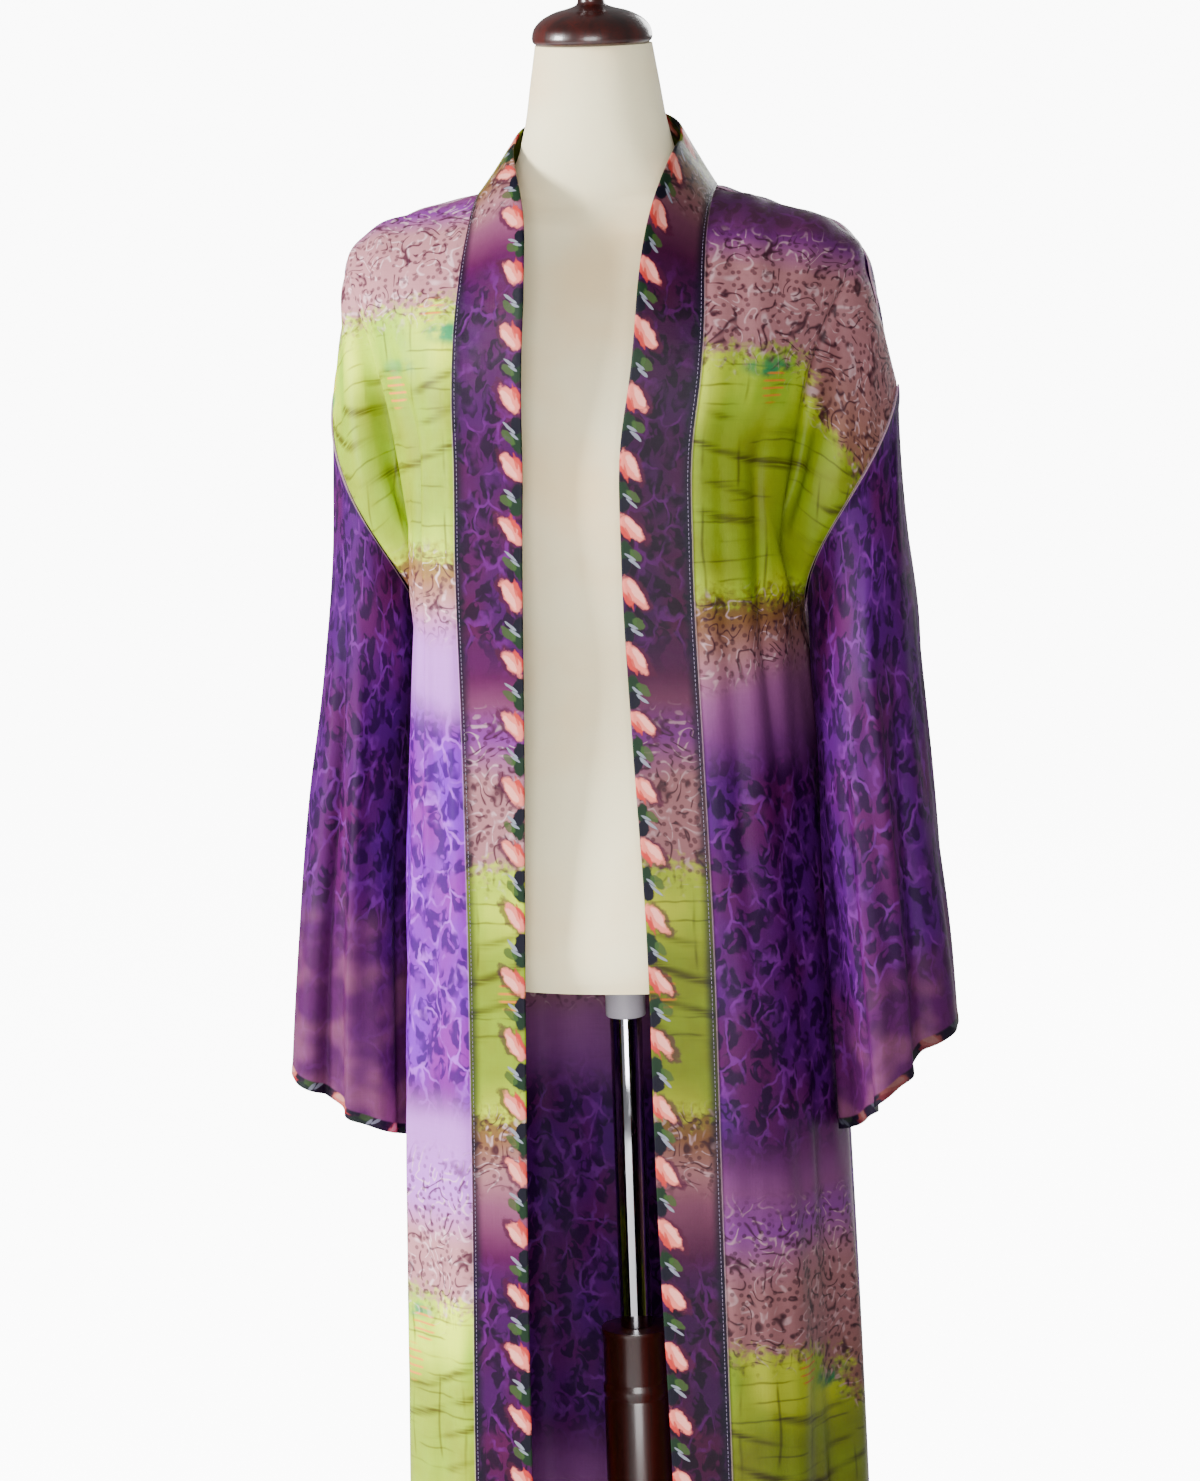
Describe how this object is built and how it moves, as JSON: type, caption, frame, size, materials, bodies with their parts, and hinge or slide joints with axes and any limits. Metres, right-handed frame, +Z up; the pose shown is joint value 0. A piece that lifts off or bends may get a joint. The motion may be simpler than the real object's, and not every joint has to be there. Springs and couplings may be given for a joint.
{
  "type": "kimono coat on limbless dress form with stand",
  "caption": "Long open-front kimono coat with a continuous neckband and wide sleeves, hung on a limbless dress form with a capped neck on a pole, turned column and round base.",
  "frame": {"origin": "centre of the base's underside, on the pole's axis, on the floor", "axes": "+Z up; the coat's open front faces -Y; +X is the wearer's left side"},
  "size_m": [0.542, 0.354, 1.5883],
  "materials": {
    "printed_cloth": "thin silky cloth, printed in cross bands of purple, lilac, speckle and green",
    "sleeve_cloth": "thin silky cloth, purple with a netted animal-skin print",
    "band_cloth": "folded silky cloth, printed, with a small flower border along the free edge",
    "form_jersey": "smooth cream cotton jersey",
    "dark_wood": "turned, mahogany stain, gloss varnish",
    "collar_plastic": "satin grey",
    "pole_chrome": "polished tube"
  },
  "bodies": {
    "root": {"front_left": "printed_cloth", "front_right": "printed_cloth", "back": "printed_cloth", "sleeve_left": "sleeve_cloth", "sleeve_right": "sleeve_cloth", "neckband": "band_cloth", "form_torso": "form_jersey", "neck_cap": "dark_wood", "pole_collar": "collar_plastic", "pole": "pole_chrome", "column": "dark_wood", "base": "dark_wood"}
  },
  "joints": []
}
